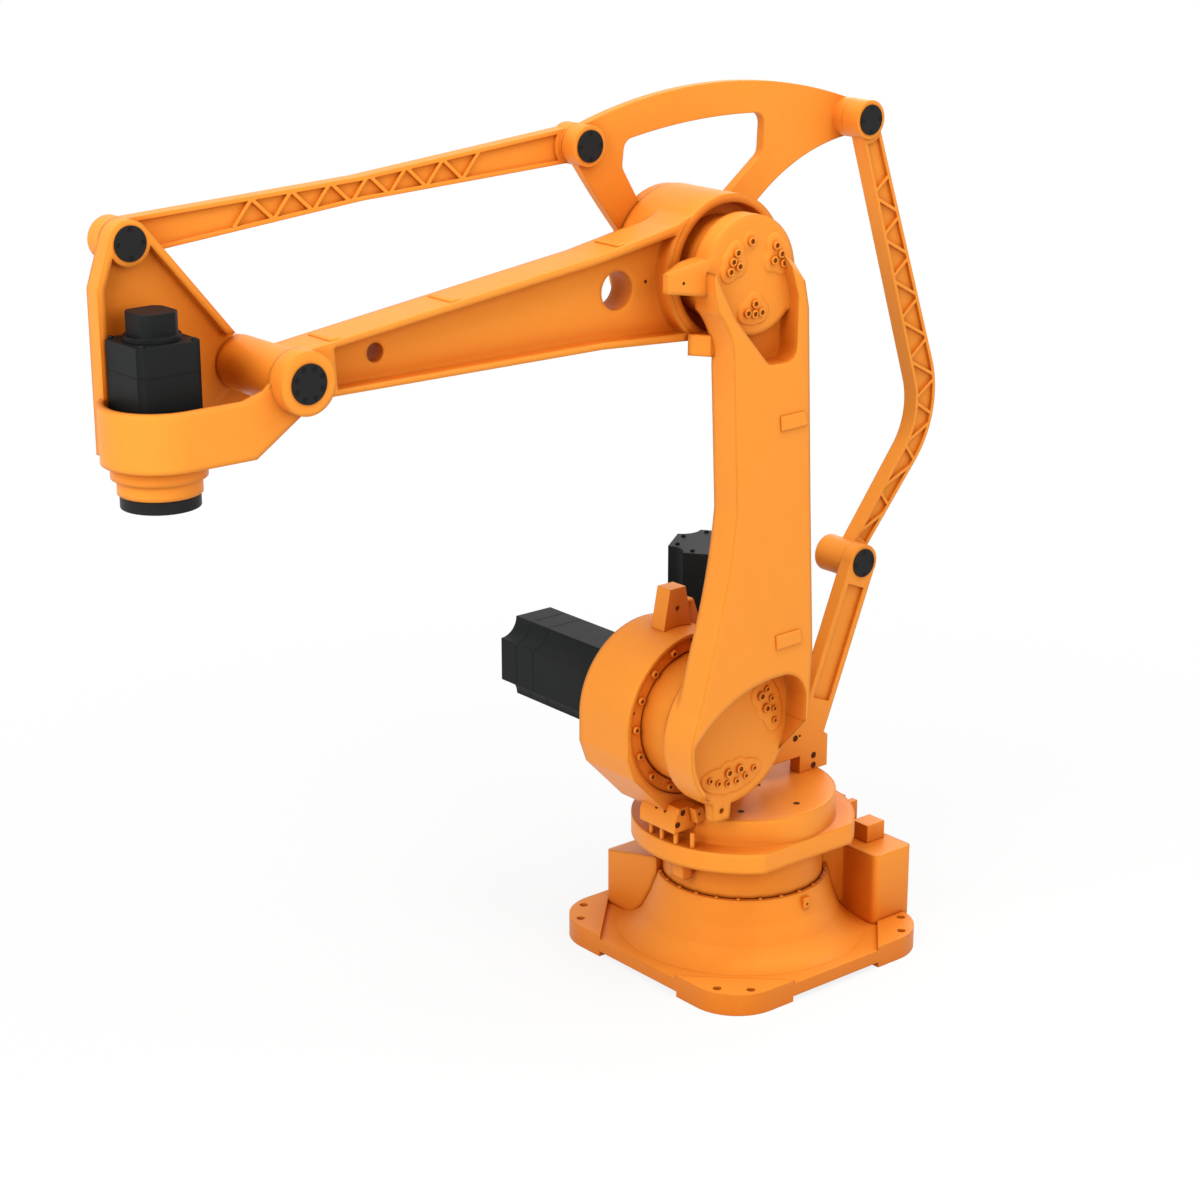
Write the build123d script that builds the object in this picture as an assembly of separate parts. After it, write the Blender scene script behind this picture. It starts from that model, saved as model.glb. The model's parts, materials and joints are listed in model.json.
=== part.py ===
from build123d import *
import math
import os

os.makedirs("parts", exist_ok=True)

# Four-axis palletising robot arm, millimetres, +Z up, arm reaching along +X.
# The origin is on the turning axis of the waist, at the floor.
# Near means +Y, the side that carries the lower arm, and far means -Y.

# Axes and link lengths
shoulder_x = 168
shoulder_z = 567
lower_arm_length = 945
lower_arm_lean = -0.66
forearm_length = 1010
forearm_dip = 3.88
lever_front_x = 219
lever_front_z = 240
lever_rear_x = -484
lever_rear_z = 234
tool_offset_x = lever_front_x

# General clearances
overrun = 5
seat_gap = 0.3
running_gap = 0.05
open_pivot_gap = 0.3

# Base plate
plate_half = 297
plate_corner_radius = 108
plate_thickness = 40
pad_height = 8
pad_size = 175
foot_hole_near_edge = 27
foot_hole_far_edge = 76
foot_hole_radius = 9
foot_recess_length = 250
foot_recess_height = 12
foot_recess_depth = 60

# Pedestal and waist gear case
pedestal_foot_radius = 238
pedestal_low_radius = 214
pedestal_low_z = 76
pedestal_mid_radius = 198
pedestal_mid_z = 118
pedestal_top_radius = 184
pedestal_top_z = 171
waist_case_radius = 173
waist_case_top_z = 256

# Rear connection housing on the base
housing_front_x = 160
housing_back_x = -316
housing_side_y = -268
housing_near_y = 204
housing_wing_x = -206
housing_wing_y = -98
housing_inner_y = 104
housing_top_z = 200
housing_edge_radius = 14
housing_slope_y = -110
housing_slope_deg = 13
plug_block_setback = 32
plug_block_y = 112
plug_block_length = 52
plug_block_width = 46
plug_block_height = 40
plug_tower_setback = 38
plug_tower_y = 22
plug_tower_height = 60
plug_slot_width = 22
plug_slot_depth = 12

# Turntable
table_radius = 198
table_top_z = 358
table_flange_radius = 240
table_flange_thickness = 44
table_flange_flat_y = 205
lobe_radius = 112
waist_stop_x = 193
waist_stop_y = 22
waist_stop_length = 26
waist_stop_width = 38
waist_stop_low_z = 208
waist_motor_x = -122
waist_motor_y = -240
waist_motor_turn = 36

# Servo motors of waist and shoulder
motor_side = 180
motor_scallop_radius = 42
motor_nose_radius = 82
waist_motor_foot_z = 470
waist_motor_top_z = 822
shoulder_motor_near_y = -152
shoulder_motor_far_y = -508

# Shoulder housing
drum_radius = 179
drum_near_y = 27
drum_far_y = -130
drum_recess_radius = 171
drum_recess_depth = 14
drum_front_flat_drop = 58
drum_chin_x = 161
drum_chin_drop = 107
drum_foot_x = 62
drum_back_x = -150
drum_back_drop = 45
gear_ring_inner_radius = 143
gear_ring_thickness = 9
lug_foot_half_width = 40
lug_top_half_width = 21
lug_foot_z = 165
lug_top_z = 263
lug_near_y = -27
lug_thickness = 40
lug_hole_z = 219
lug_hole_radius = 6

# Lower arm, with heights measured from the shoulder, or from the elbow for the head
arm_near_y = 200
arm_web_far_y = 133
arm_head_x = 12
arm_head_rise = 2
arm_head_radius = 115
arm_head_near_y = 176
arm_foot_radius = 160
arm_foot_near_y = 142
arm_foot_far_y = 93
arm_foot_cone_y = 115
arm_neck_x = 114
arm_neck_drop = 60
arm_neck_mid_x = 82
arm_neck_mid_drop = 107
arm_neck_low_x = 70
arm_neck_low_drop = 175
arm_front_waist = 54
arm_front_waist_z = 483
arm_front_bow_x = 74
arm_front_bow_z = 340
arm_front_low_x = 111
arm_front_low_z = 195
arm_front_foot_x = 143
arm_front_foot_z = 72
arm_back_top = 100
arm_back_top_z = 973
arm_back_high = 124
arm_back_high_z = 869
arm_back_waist = 146
arm_back_waist_z = 474
arm_back_low = 166
arm_back_low_z = 150
shoulder_hub_radius = 139
elbow_hub_radius = 102
head_pocket_top_x = -60
head_pocket_top_z = 52
head_pocket_back_x = -95
head_pocket_back_z = -50
head_pocket_low_z = -178
head_pocket_low_x = -22
head_pocket_mid_x = 68
head_pocket_mid_z = -79
head_pocket_front_z = 30
head_pocket_corner = 26
head_plate_radius = 118
head_well_y = 150
head_slope_turn = -130
head_slope_start = 55
head_slope_run = 20
foot_pocket_front_x = 166
foot_pocket_front_z = -8
foot_pocket_bow_x = 50
foot_pocket_bow_z = 88
foot_pocket_top_x = -84
foot_pocket_top_z = 116
foot_pocket_turn_x = -134
foot_pocket_turn_z = 96
foot_pocket_back_x = -153
foot_pocket_back_z = 42
foot_lip_radius = 152
foot_slope_turn = 110
foot_slope_start = 50
foot_slope_run = 64
head_lug_tip_x = 226
head_lug_flank_x = 158
head_lug_root_x = 116
head_lug_root_half = 36
head_lug_tip_half = 18
head_lug_rise = 6
head_lug_far_y = 131
head_lug_edge_y = 164
elbow_stop_x = 60
elbow_stop_near_x = 81
elbow_stop_far_x = 107
elbow_stop_low_z = -157
elbow_stop_high_z = -115
elbow_stop_near_y = 142
elbow_stop_far_y = 105
foot_lug_x = 22
foot_lug_half_width = 34
foot_lug_tip_half_width = 22
foot_lug_reach = 194
foot_lug_far_y = 118
foot_lug_hole_drop = 172
foot_lug_hole_radius = 6

# Forearm
forearm_near_y = 95
forearm_far_y = 0
elbow_drum_radius = 146
elbow_drum_near_y = 98
elbow_drum_far_y = -70
elbow_recess_radius = 129
elbow_recess_depth = 42
elbow_spigot_radius = 95
elbow_spigot_far_y = -99
wrist_hub_radius = 50
wrist_hub_near_y = 95
wrist_hub_far_y = -77
forearm_low_half_height = 137
forearm_shoulder_x = 124
forearm_shoulder_top = 106
forearm_knee_x = 321
forearm_knee_top = 83
forearm_knee_low = -95
forearm_tip_top = 41
forearm_tip_low = -43
forearm_pocket_depth = 34
forearm_pocket_end = 88
forearm_drum_wall = 8
forearm_rim = 17
forearm_knee_rim = 13
forearm_tip_rim = 8
forearm_big_hole_x = 252
forearm_big_hole_radius = 38
forearm_small_hole_setback = 195
forearm_small_hole_radius = 18
elbow_motor_side = 110
elbow_motor_scallop_radius = 16
elbow_motor_far_y = -185

# Levelling lever
lever_near_y = -75
lever_far_y = -95
lever_hub_radius = 143
lever_boss_radius = 40
lever_front_boss_near_y = -58
lever_rear_boss_near_y = -47.3
lever_crown_x = -150
lever_crown_z = 332
lever_back_mid_x = -327
lever_back_mid_z = 146
lever_back_low_x = -215
lever_back_low_z = 66
lever_leg_mid_x = 177
lever_leg_mid_z = 124
lever_leg_low_x = 128
lever_leg_low_z = 62
window_front_top_x = 118
window_front_top_z = 240
window_crown_x = -90
window_crown_z = 264
window_rear_top_x = -254
window_rear_top_z = 262
window_rear_low_x = -250
window_rear_low_z = 180
window_hub_rear_x = -148
window_hub_rear_z = 102
window_hub_front_x = 78
window_hub_front_z = 112
window_leg_x = 124
window_leg_z = 188
window_corner_radius = 24

# Pins and their caps
link_pin_radius = 22
cap_radius = 31
cap_thickness = 2.5
wrist_pin_radius = 26
wrist_cap_radius = 36

# Upper rod, from the lever to the wrist bracket
upper_rod_near_y = -96
upper_rod_far_y = -131
upper_rod_body_inset = 5
upper_rod_end_half = 34
upper_rod_mid_half = 22
rod_boss_radius = 40
rod_rim = 8
rod_pocket_depth = 7
rod_rib_width = 7
rod_boss_wall = 10
upper_truss_start = 232
upper_truss_pitch = 42
upper_truss_ribs = 13

# Rear rod, from the rear post to the lever
rear_rod_near_y = -2
rear_rod_far_y = -47
rear_rod_body_inset = 5
rear_rod_bend_z = 292
rear_rod_bend_x = -233
rear_rod_bend_radius = 190
rear_rod_top_half = 26
rear_rod_bend_half = 36
rear_rod_low_boss_far_y = -80
rear_truss_pitch = 46
rear_truss_ribs = 18
rear_truss_relief = 24

# Rear post on the turntable
post_near_y = 28
post_far_y = -1.7
post_width = 78
post_foot_back_x = -222
post_foot_front_x = -140
post_knee_z = 430
post_knee_x = -165
post_arch_x = -60
post_arch_top_z = 398
post_shoulder_z = 470
post_pocket_width = 50
post_pocket_depth = 8
post_pocket_top_drop = 52
post_pocket_low_rise = 92

# Wrist bracket, measured from the wrist axis
bracket_far_y = -95
bracket_plate_thickness = 15
bracket_rim_near_y = -58
bracket_rim_width = 14
cup_near_y = 112
cup_wall = 12
cup_top_z = -20
cup_bottom_z = -124
cup_floor = 20
cup_rear_x = 112
ear_radius = 57
ear_near_y = 141
ear_wall_rise_x = 70
bracket_heel_radius = 23
bracket_hub_radius = 48
bracket_front_x = 67
bracket_front_top_z = 172
wrist_case_radius = 84
wrist_case_step_radius = 74
wrist_case_step_z = -152
wrist_case_bottom_z = -181
wrist_motor_side = 124
wrist_motor_scallop_radius = 12
wrist_motor_top_z = 86
wrist_motor_cap_radius = 44
wrist_motor_cap_top_z = 135
wrist_motor_cap_flat = 37
wrist_motor_ring_radius = 50
wrist_motor_ring_height = 9

# Tool flange
flange_radius = 70
flange_thickness = 24
flange_bore_radius = 31.5
flange_bore_depth = 8
flange_bolt_circle = 100
flange_bolt_radius = 4
flange_bolt_depth = 14
flange_bolt_count = 6

# Places of the axes at rest
lean = math.radians(lower_arm_lean)
dip = math.radians(forearm_dip)
elbow_x = shoulder_x + lower_arm_length * math.sin(lean)
elbow_z = shoulder_z + lower_arm_length * math.cos(lean)
wrist_x = elbow_x + forearm_length * math.cos(dip)
wrist_z = elbow_z - forearm_length * math.sin(dip)
post_pin_x = shoulder_x + lever_rear_x
post_pin_z = shoulder_z + lever_rear_z

at_shoulder = Pos(shoulder_x, 0, shoulder_z)
at_arm = Pos(shoulder_x, 0, shoulder_z) * Rot(0, lower_arm_lean, 0)
at_elbow = Pos(elbow_x, 0, elbow_z)
at_forearm = Pos(elbow_x, 0, elbow_z) * Rot(0, forearm_dip, 0)
at_wrist = Pos(wrist_x, 0, wrist_z)
at_post_pin = Pos(post_pin_x, 0, post_pin_z)
at_rear_rod = at_post_pin * Rot(0, lower_arm_lean, 0)
at_upper_rod = Pos(elbow_x + lever_front_x, 0, elbow_z + lever_front_z) * Rot(0, forearm_dip, 0)


def slab(outline, near_y, far_y):
    """An outline drawn in X and Z, made solid between two Y levels."""
    return extrude(Plane.XZ.offset(-near_y) * outline, amount=near_y - far_y)


def disc(radius, near_y, far_y, x=0, z=0):
    """A round slab about an axis along Y."""
    return slab(Pos(x, z) * Circle(radius), near_y, far_y)


def puck(radius, low_z, high_z, x=0, y=0):
    """A round slab about an axis along Z."""
    return Pos(x, y, low_z) * extrude(Circle(radius), amount=high_z - low_z)


def block(low_x, high_x, low_y, high_y, low_z, high_z):
    """A box between two corners."""
    outline = Pos((low_x + high_x) / 2, (low_y + high_y) / 2) * Rectangle(high_x - low_x, high_y - low_y)
    return Pos(0, 0, low_z) * extrude(outline, amount=high_z - low_z)


def polygon(*points):
    """A filled outline with straight sides."""
    return make_face(Polyline(*points, close=True))


def oblique_cut(turn, start, run, near_y, floor_y, reach):
    """What a sloping milled face takes away, falling from one Y level to the next past a turned line."""
    side = polygon((start, near_y + overrun), (start, near_y), (start + run, floor_y), (reach, floor_y),
                   (reach, near_y + overrun))
    return Rot(0, turn, 0) * extrude(side, amount=reach, both=True)


def motor_section(side, scallop_radius):
    """A square servo body with a concave scallop at each corner."""
    section = Rectangle(side, side)
    for corner_x in (-side / 2, side / 2):
        for corner_y in (-side / 2, side / 2):
            section -= Pos(corner_x, corner_y) * Circle(scallop_radius)
    return section


def save(name, shape):
    """Write one piece to its own file."""
    export_step(shape, f"parts/{name}.step")


# Base: plate, pedestal, waist gear case and the connection housing
def corner_pads(margin):
    """The raised triangles at the four corners of the base plate."""
    pads = extrude(RectangleRounded(2 * plate_half, 2 * plate_half, plate_corner_radius),
                   amount=plate_thickness + pad_height + margin)
    reach = 2 * plate_half - pad_size - margin
    middle = Rot(0, 0, 45) * Rectangle(reach * math.sqrt(2), reach * math.sqrt(2))
    return pads - extrude(middle, amount=plate_thickness + pad_height + overrun)


def base_plate():
    outline = RectangleRounded(2 * plate_half, 2 * plate_half, plate_corner_radius)
    plate = extrude(outline, amount=plate_thickness) + corner_pads(0)
    for side_x in (-1, 1):
        for side_y in (-1, 1):
            for edge_x, edge_y in ((foot_hole_near_edge, foot_hole_far_edge), (foot_hole_far_edge, foot_hole_near_edge)):
                plate -= puck(foot_hole_radius, -overrun, plate_thickness + pad_height + overrun,
                              side_x * (plate_half - edge_x), side_y * (plate_half - edge_y))
    half = foot_recess_length / 2
    inner = plate_half - foot_recess_depth
    outer = plate_half + overrun
    for low, high in ((inner, outer), (-outer, -inner)):
        plate -= block(low, high, -half, half, -overrun, foot_recess_height)
        plate -= block(-half, half, low, high, -overrun, foot_recess_height)
    return plate


def pedestal(margin=0):
    low_z = plate_thickness + seat_gap
    top_z = pedestal_top_z + margin
    half = polygon(
        (0, low_z),
        (pedestal_foot_radius + margin, low_z),
        (pedestal_low_radius + margin, pedestal_low_z),
        (pedestal_mid_radius + margin, pedestal_mid_z),
        (pedestal_top_radius + margin, top_z),
        (0, top_z),
    )
    return revolve(Plane.XZ * half, Axis.Z)


def waist_case():
    return puck(waist_case_radius, pedestal_top_z + seat_gap, waist_case_top_z)


def rear_housing():
    low_z = plate_thickness + seat_gap
    outline = polygon(
        (housing_front_x, housing_side_y),
        (housing_front_x, housing_wing_y),
        (0, housing_wing_y),
        (0, housing_inner_y),
        (housing_wing_x, housing_inner_y),
        (housing_wing_x, housing_near_y),
        (housing_back_x, housing_near_y),
        (housing_back_x, housing_side_y),
    )
    outline = fillet(outline.vertices().filter_by(
        lambda corner: abs(corner.Y) > housing_inner_y + overrun), housing_edge_radius)
    body = Pos(0, 0, low_z) * extrude(outline, amount=housing_top_z - low_z)
    reach = housing_top_z - housing_back_x
    slope = Pos(housing_wing_x / 2, housing_slope_y, housing_top_z) * Rot(housing_slope_deg, 0, 0) * block(
        0, reach, -reach, 0, 0, reach)
    body -= slope
    body -= pedestal(seat_gap)
    body -= puck(waist_case_radius + seat_gap, low_z, housing_top_z + overrun)
    return body - corner_pads(seat_gap)


def plug_blocks():
    low_z = housing_top_z + seat_gap
    block_x = -table_flange_radius - plug_block_setback
    tower_x = -table_flange_radius - plug_tower_setback
    half_x = plug_block_length / 2
    half_y = plug_block_width / 2
    low_block = block(block_x - half_x, block_x + half_x, plug_block_y - half_y, plug_block_y + half_y,
                      low_z, low_z + plug_block_height)
    tower = block(tower_x - half_y, tower_x + half_y, plug_tower_y - half_x, plug_tower_y + half_x,
                  low_z, low_z + plug_tower_height)
    slot = plug_slot_width / 2
    tower -= block(tower_x - half_y - overrun, tower_x + half_y + overrun, plug_tower_y - slot, plug_tower_y + slot,
                   low_z + plug_tower_height - plug_slot_depth, low_z + plug_tower_height + overrun)
    return Compound(children=[low_block, tower])


save("base_plate", base_plate())
save("pedestal", pedestal())
save("waist_case", waist_case())
save("rear_housing", rear_housing())
save("plug_blocks", plug_blocks())


# Turntable with its flange, the lobe of the waist motor and both big motors
def turntable():
    low_z = waist_case_top_z + seat_gap
    flange = puck(table_flange_radius, low_z, low_z + table_flange_thickness)
    flange -= block(-table_flange_radius, table_flange_radius, table_flange_flat_y,
                    table_flange_radius + overrun, low_z - overrun, low_z + table_flange_thickness + overrun)
    table = puck(table_radius, low_z, table_top_z)
    lobe_outline = Pos(waist_motor_x, waist_motor_y) * Circle(lobe_radius)
    lobe = Pos(0, 0, low_z + table_flange_thickness / 2) * extrude(
        make_hull(lobe_outline.edges() + Circle(lobe_radius).edges()),
        amount=table_top_z - low_z - table_flange_thickness / 2)
    half_x = waist_stop_length / 2
    half_y = waist_stop_width / 2
    stop = block(waist_stop_x - half_x, waist_stop_x + half_x, waist_stop_y - half_y, waist_stop_y + half_y,
                 waist_stop_low_z, low_z + table_flange_thickness)
    return flange + table + lobe + stop


def waist_motor():
    place = Pos(waist_motor_x, waist_motor_y, 0)
    nose = place * puck(motor_nose_radius, table_top_z + seat_gap, waist_motor_foot_z)
    body = place * Pos(0, 0, waist_motor_foot_z) * Rot(0, 0, waist_motor_turn) * extrude(
        motor_section(motor_side, motor_scallop_radius), amount=waist_motor_top_z - waist_motor_foot_z)
    return nose + body


def shoulder_housing():
    foot_z = table_top_z + seat_gap - shoulder_z
    side = polygon(
        (0, 0),
        (drum_radius, 0),
        (drum_radius, -drum_front_flat_drop),
        (drum_chin_x, -drum_chin_drop),
        (drum_foot_x, foot_z),
        (drum_back_x, foot_z),
        (drum_back_x, -drum_back_drop),
    )
    body = slab(side + Circle(drum_radius), drum_near_y, drum_far_y)
    body -= disc(drum_recess_radius, drum_near_y + overrun, drum_near_y - drum_recess_depth)
    return at_shoulder * body


def stop_lug():
    outline = polygon(
        (-lug_foot_half_width, lug_foot_z),
        (lug_foot_half_width, lug_foot_z),
        (lug_top_half_width, lug_top_z),
        (-lug_top_half_width, lug_top_z),
    )
    outline -= Circle(drum_radius + seat_gap)
    outline -= Pos(0, lug_hole_z) * Circle(lug_hole_radius)
    return at_shoulder * slab(outline, lug_near_y, lug_near_y - lug_thickness)


def shoulder_gear_ring():
    far_y = drum_near_y - drum_recess_depth + seat_gap
    ring = disc(drum_recess_radius - seat_gap, far_y + gear_ring_thickness, far_y)
    ring -= disc(gear_ring_inner_radius, far_y + gear_ring_thickness + overrun, far_y - overrun)
    return at_shoulder * ring


def shoulder_motor():
    nose = disc(motor_nose_radius, drum_far_y - seat_gap, shoulder_motor_near_y)
    body = slab(motor_section(motor_side, motor_scallop_radius), shoulder_motor_near_y, shoulder_motor_far_y)
    return at_shoulder * (nose + body)


save("turntable", turntable())
save("waist_motor", waist_motor())
save("shoulder_housing", shoulder_housing())
save("stop_lug", stop_lug())
save("shoulder_gear_ring", shoulder_gear_ring())
save("shoulder_motor", shoulder_motor())


# Rear post that holds the foot of the rear rod, and its pin
def rear_post():
    foot_z = table_top_z + seat_gap
    side = math.atan2(post_knee_x - post_pin_x, post_pin_z - post_knee_z)
    across_x = math.cos(side) * post_width / 2
    across_z = math.sin(side) * post_width / 2
    beam = polygon(
        (post_pin_x - across_x, post_pin_z - across_z),
        (post_pin_x + across_x, post_pin_z + across_z),
        (post_knee_x + across_x, post_knee_z + across_z),
        (post_knee_x - across_x, post_knee_z - across_z),
    )
    foot = polygon(
        (post_foot_back_x, foot_z),
        (post_foot_back_x, post_knee_z),
        (post_knee_x, post_shoulder_z),
        (post_arch_x, post_shoulder_z),
        (post_arch_x, post_arch_top_z),
        (post_foot_front_x, post_arch_top_z),
        (post_foot_front_x, foot_z),
    )
    outline = beam + foot + Pos(post_pin_x, post_pin_z) * Circle(rod_boss_radius)
    post = slab(outline, post_near_y, post_far_y)
    beam_length = math.hypot(post_knee_x - post_pin_x, post_pin_z - post_knee_z)
    pocket_length = beam_length - post_pocket_top_drop - post_pocket_low_rise
    pocket_middle = post_pocket_top_drop + pocket_length / 2
    pocket = Pos(post_pin_x + math.sin(side) * pocket_middle, post_pin_z - math.cos(side) * pocket_middle) * Rot(
        0, 0, math.degrees(side)) * Rectangle(post_pocket_width, pocket_length)
    post -= slab(pocket, post_near_y + overrun, post_near_y - post_pocket_depth)
    return post - disc(link_pin_radius, post_near_y + overrun, post_far_y - overrun, post_pin_x, post_pin_z)


def link_pin(pin_radius, pin_cap_radius, near_y, far_y):
    """A pin through a joint, held by a cap at each end."""
    pin = disc(pin_radius, near_y + seat_gap, far_y - seat_gap)
    pin += disc(pin_cap_radius, near_y + seat_gap + cap_thickness, near_y + seat_gap)
    pin += disc(pin_cap_radius, far_y - seat_gap, far_y - seat_gap - cap_thickness)
    return pin


save("rear_post", rear_post())
save("rear_post_pin", at_post_pin * link_pin(link_pin_radius - running_gap, cap_radius, post_near_y,
                                             rear_rod_low_boss_far_y))


# Lower arm with the hubs that its two gears turn
def arm_beam():
    """The side outline of the lower arm between the shoulder and the elbow."""
    length = lower_arm_length
    return make_face(
        Polyline((-arm_back_low, arm_back_low_z), (-arm_back_waist, arm_back_waist_z),
                 (-arm_back_high, arm_back_high_z), (-arm_back_top, arm_back_top_z),
                 (arm_head_x + arm_head_radius, length),
                 (arm_neck_x, length - arm_neck_drop))
        + ThreePointArc((arm_neck_x, length - arm_neck_drop), (arm_neck_mid_x, length - arm_neck_mid_drop),
                        (arm_neck_low_x, length - arm_neck_low_drop))
        + Line((arm_neck_low_x, length - arm_neck_low_drop), (arm_front_waist, arm_front_waist_z))
        + ThreePointArc((arm_front_waist, arm_front_waist_z), (arm_front_bow_x, arm_front_bow_z),
                        (arm_front_low_x, arm_front_low_z))
        + Polyline((arm_front_low_x, arm_front_low_z), (arm_front_foot_x, arm_front_foot_z), (arm_foot_radius, 0),
                   (-arm_foot_radius, 0), (-arm_back_low, arm_back_low_z))
    )


def head_cuts():
    """The open pocket of the head, the deeper well below its round plate, and the slope of its walls."""
    outer = arm_head_x + arm_head_radius + overrun
    pocket = polygon(
        (head_pocket_top_x, outer),
        (head_pocket_top_x, head_pocket_top_z),
        (head_pocket_back_x, head_pocket_back_z),
        (head_pocket_back_x, head_pocket_low_z),
        (head_pocket_low_x, head_pocket_low_z),
        (head_pocket_mid_x, head_pocket_mid_z),
        (outer, head_pocket_front_z),
        (outer, outer),
    )
    pocket = fillet(pocket.vertices().group_by(Axis.Y)[0], head_pocket_corner)
    well = pocket - Circle(head_plate_radius) - Pos(0, head_pocket_mid_z + outer) * Rectangle(2 * outer, 2 * outer)
    cuts = slab(pocket, arm_near_y + overrun, arm_head_near_y) + slab(well, arm_near_y + overrun, head_well_y)
    slope = oblique_cut(head_slope_turn, head_slope_start, head_slope_run, arm_near_y, arm_head_near_y, 2 * outer)
    return cuts + slope


def foot_cuts():
    """The pocket of the foot that is open below, and the slope of its walls."""
    outer = arm_foot_radius + overrun
    pocket = make_face(
        ThreePointArc((foot_pocket_front_x, foot_pocket_front_z), (foot_pocket_bow_x, foot_pocket_bow_z),
                      (foot_pocket_top_x, foot_pocket_top_z))
        + ThreePointArc((foot_pocket_top_x, foot_pocket_top_z), (foot_pocket_turn_x, foot_pocket_turn_z),
                        (foot_pocket_back_x, foot_pocket_back_z))
        + Polyline((foot_pocket_back_x, foot_pocket_back_z), (foot_pocket_back_x, -outer),
                   (foot_pocket_front_x, -outer), (foot_pocket_front_x, foot_pocket_front_z))
    )
    back_corner = polygon((foot_pocket_back_x, 0), (foot_pocket_back_x, outer), (0, outer), (0, 0))
    pocket = pocket & (Circle(foot_lip_radius) + back_corner)
    slope = oblique_cut(foot_slope_turn, foot_slope_start, foot_slope_run, arm_near_y, arm_foot_near_y, 2 * outer)
    return slab(pocket, arm_near_y + overrun, arm_foot_near_y) + slope


def head_lug():
    """The wedge on the front of the head."""
    side = polygon(
        (head_lug_root_x, head_lug_rise + head_lug_root_half),
        (head_lug_tip_x, head_lug_rise + head_lug_tip_half),
        (head_lug_tip_x, head_lug_rise - head_lug_tip_half),
        (head_lug_root_x, head_lug_rise - head_lug_root_half),
    )
    plan = polygon(
        (head_lug_root_x, head_lug_far_y),
        (head_lug_flank_x, head_lug_far_y),
        (head_lug_tip_x, head_lug_edge_y),
        (head_lug_tip_x, arm_head_near_y),
        (head_lug_root_x, arm_head_near_y),
    )
    wedge = slab(side, arm_head_near_y, head_lug_far_y) & extrude(plan, amount=arm_head_radius, both=True)
    return Pos(0, 0, lower_arm_length) * wedge


def foot_lug():
    """The lug with one hole that hangs under the foot."""
    outline = polygon(
        (foot_lug_x - foot_lug_half_width, -arm_foot_radius / 2),
        (foot_lug_x + foot_lug_half_width, -arm_foot_radius / 2),
        (foot_lug_x + foot_lug_tip_half_width, -foot_lug_reach),
        (foot_lug_x - foot_lug_tip_half_width, -foot_lug_reach),
    )
    outline -= Pos(foot_lug_x, -foot_lug_hole_drop) * Circle(foot_lug_hole_radius)
    return slab(outline, arm_foot_near_y, foot_lug_far_y)


def elbow_stop():
    """The block with a slanting front that stands out below the head."""
    plan = polygon(
        (elbow_stop_x, elbow_stop_far_y),
        (elbow_stop_far_x, elbow_stop_far_y),
        (elbow_stop_near_x, elbow_stop_near_y),
        (elbow_stop_x, elbow_stop_near_y),
    )
    return Pos(0, 0, lower_arm_length + elbow_stop_low_z) * extrude(plan, amount=elbow_stop_high_z - elbow_stop_low_z)


def lower_arm():
    length = lower_arm_length
    arm = slab(arm_beam(), arm_near_y, arm_web_far_y)
    arm += disc(arm_foot_radius, arm_near_y, arm_foot_cone_y)
    arm += Pos(0, (arm_foot_far_y + arm_foot_cone_y) / 2, 0) * Rot(-90, 0, 0) * Cone(
        shoulder_hub_radius, arm_foot_radius, arm_foot_cone_y - arm_foot_far_y)
    arm += disc(arm_head_radius, arm_near_y, arm_web_far_y, arm_head_x, length + arm_head_rise)
    arm -= Pos(0, 0, length) * head_cuts()
    arm -= foot_cuts()
    arm += head_lug()
    arm += foot_lug()
    arm += elbow_stop()
    return at_arm * arm


def shoulder_hub():
    far_y = drum_near_y - drum_recess_depth + seat_gap
    return at_arm * disc(shoulder_hub_radius, arm_foot_far_y - seat_gap, far_y)


def elbow_hub():
    far_y = elbow_drum_near_y - elbow_recess_depth + seat_gap
    return at_arm * disc(elbow_hub_radius, arm_web_far_y - seat_gap, far_y, 0, lower_arm_length)


save("lower_arm", lower_arm())
save("shoulder_hub", shoulder_hub())
save("elbow_hub", elbow_hub())


# Forearm, a beam with a recessed web between the elbow drum and the wrist hub
def forearm():
    tip = forearm_length
    beam = polygon(
        (0, elbow_drum_radius),
        (forearm_shoulder_x, forearm_shoulder_top),
        (forearm_knee_x, forearm_knee_top),
        (tip, forearm_tip_top),
        (tip, forearm_tip_low),
        (forearm_knee_x, forearm_knee_low),
        (0, -forearm_low_half_height),
    )
    arm = slab(beam, forearm_near_y, forearm_far_y)
    pocket = polygon(
        (0, elbow_drum_radius - forearm_rim),
        (forearm_shoulder_x, forearm_shoulder_top - forearm_rim),
        (forearm_knee_x, forearm_knee_top - forearm_knee_rim),
        (tip - forearm_pocket_end, forearm_tip_top - forearm_tip_rim / 2),
        (tip - forearm_pocket_end, forearm_tip_low + forearm_tip_rim / 2),
        (forearm_knee_x, forearm_knee_low + forearm_knee_rim),
        (0, forearm_rim - forearm_low_half_height),
    )
    pocket -= Circle(elbow_drum_radius + forearm_drum_wall)
    arm -= slab(pocket, forearm_near_y + overrun, forearm_near_y - forearm_pocket_depth)
    arm += disc(elbow_drum_radius, elbow_drum_near_y, elbow_drum_far_y)
    arm += disc(elbow_spigot_radius, elbow_drum_far_y, elbow_spigot_far_y)
    arm += disc(wrist_hub_radius, wrist_hub_near_y, wrist_hub_far_y, tip, 0)
    arm -= disc(elbow_recess_radius, elbow_drum_near_y + overrun, elbow_drum_near_y - elbow_recess_depth)
    arm -= disc(wrist_pin_radius, wrist_hub_near_y + overrun, wrist_hub_far_y - overrun, tip, 0)
    arm -= disc(forearm_big_hole_radius, forearm_near_y, forearm_far_y - overrun, forearm_big_hole_x, 0)
    arm -= disc(forearm_small_hole_radius, forearm_near_y, forearm_far_y - overrun,
                tip - forearm_small_hole_setback, 0)
    return at_forearm * arm


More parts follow.
